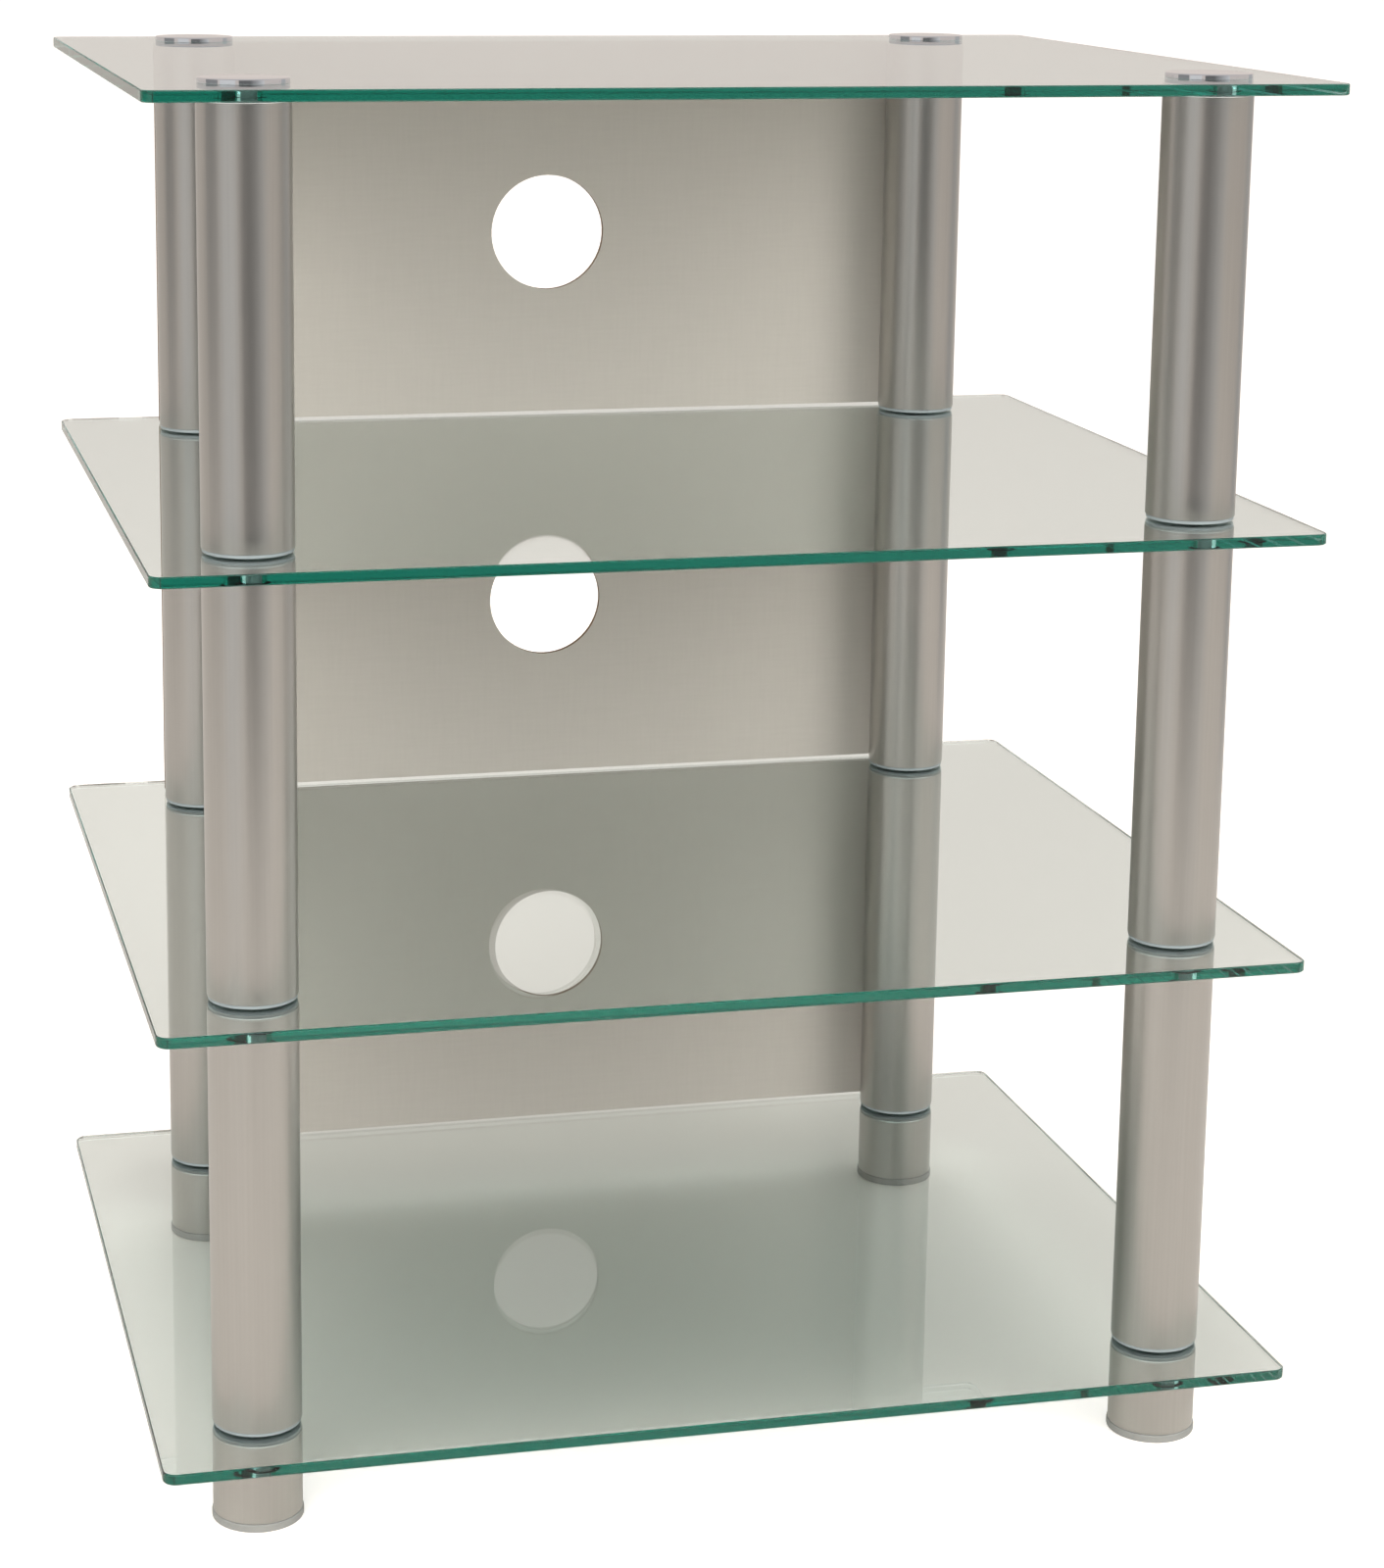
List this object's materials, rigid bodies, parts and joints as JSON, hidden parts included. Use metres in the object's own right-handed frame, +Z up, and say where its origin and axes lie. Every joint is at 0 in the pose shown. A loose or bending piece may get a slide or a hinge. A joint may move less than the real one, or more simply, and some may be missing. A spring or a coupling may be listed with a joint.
{
  "type": "glass shelf rack",
  "caption": "Free-standing media rack: clear glass shelves clamped between round aluminium column sections, boards with cable holes behind, screw-in levelling feet.",
  "frame": {"origin": "on the floor, below the middle of the shelves", "axes": "+X to the right seen from the front, +Y to the back, +Z up"},
  "size_m": [0.52, 0.42, 0.6378],
  "materials": {
    "shelf_glass": "clear float glass, polished edges that look green",
    "tube_aluminium": "satin anodised, drawn tube",
    "plug_plastic": "moulded, silver grey",
    "washer_plastic": "soft translucent washers",
    "stud_steel": "zinc plated",
    "cap_chrome": "polished",
    "board_fibreboard": "thin fibreboard with a silver-grey coat and a raw brown core",
    "screw_steel": "zinc plated",
    "glide_plastic": "moulded, grey"
  },
  "bodies": {
    "rack": {"base_shelf": "shelf_glass", "base_shelf_washers": "washer_plastic", "base_shelf_studs": "stud_steel", "lower_shelf": "shelf_glass", "lower_shelf_washers": "washer_plastic", "lower_shelf_studs": "stud_steel", "upper_shelf": "shelf_glass", "upper_shelf_washers": "washer_plastic", "upper_shelf_studs": "stud_steel", "top_shelf": "shelf_glass", "top_shelf_washers": "washer_plastic", "front_left_lower_tube": "tube_aluminium", "front_right_lower_tube": "tube_aluminium", "rear_left_lower_tube": "tube_aluminium", "rear_right_lower_tube": "tube_aluminium", "lower_tube_bottom_plugs": "plug_plastic", "lower_tube_top_plugs": "plug_plastic", "lower_back_board": "board_fibreboard", "lower_board_screws": "screw_steel", "front_left_middle_tube": "tube_aluminium", "front_right_middle_tube": "tube_aluminium", "rear_left_middle_tube": "tube_aluminium", "rear_right_middle_tube": "tube_aluminium", "middle_tube_bottom_plugs": "plug_plastic", "middle_tube_top_plugs": "plug_plastic", "middle_back_board": "board_fibreboard", "middle_board_screws": "screw_steel", "front_left_upper_tube": "tube_aluminium", "front_right_upper_tube": "tube_aluminium", "rear_left_upper_tube": "tube_aluminium", "rear_right_upper_tube": "tube_aluminium", "upper_tube_bottom_plugs": "plug_plastic", "upper_tube_top_plugs": "plug_plastic", "upper_back_board": "board_fibreboard", "upper_board_screws": "screw_steel", "foot_tube_top_plugs": "plug_plastic", "foot_tube_inserts": "plug_plastic", "front_left_foot_tube": "tube_aluminium", "front_left_cap": "cap_chrome", "front_right_foot_tube": "tube_aluminium", "front_right_cap": "cap_chrome", "rear_left_foot_tube": "tube_aluminium", "rear_left_cap": "cap_chrome", "rear_right_foot_tube": "tube_aluminium", "rear_right_cap": "cap_chrome"},
    "front_left_glide": {"front_left_glide_pad": "glide_plastic", "front_left_glide_stem": "stud_steel"},
    "front_right_glide": {"front_right_glide_pad": "glide_plastic", "front_right_glide_stem": "stud_steel"},
    "rear_left_glide": {"rear_left_glide_pad": "glide_plastic", "rear_left_glide_stem": "stud_steel"},
    "rear_right_glide": {"rear_right_glide_pad": "glide_plastic", "rear_right_glide_stem": "stud_steel"}
  },
  "joints": [
    {"name": "front_left_glide_screw", "type": "slide", "parent": "rack", "child": "front_left_glide", "axis": [0, 0, -1], "range_m": [0, 0.006]},
    {"name": "front_right_glide_screw", "type": "slide", "parent": "rack", "child": "front_right_glide", "axis": [0, 0, -1], "range_m": [0, 0.006]},
    {"name": "rear_left_glide_screw", "type": "slide", "parent": "rack", "child": "rear_left_glide", "axis": [0, 0, -1], "range_m": [0, 0.006]},
    {"name": "rear_right_glide_screw", "type": "slide", "parent": "rack", "child": "rear_right_glide", "axis": [0, 0, -1], "range_m": [0, 0.006]}
  ]
}
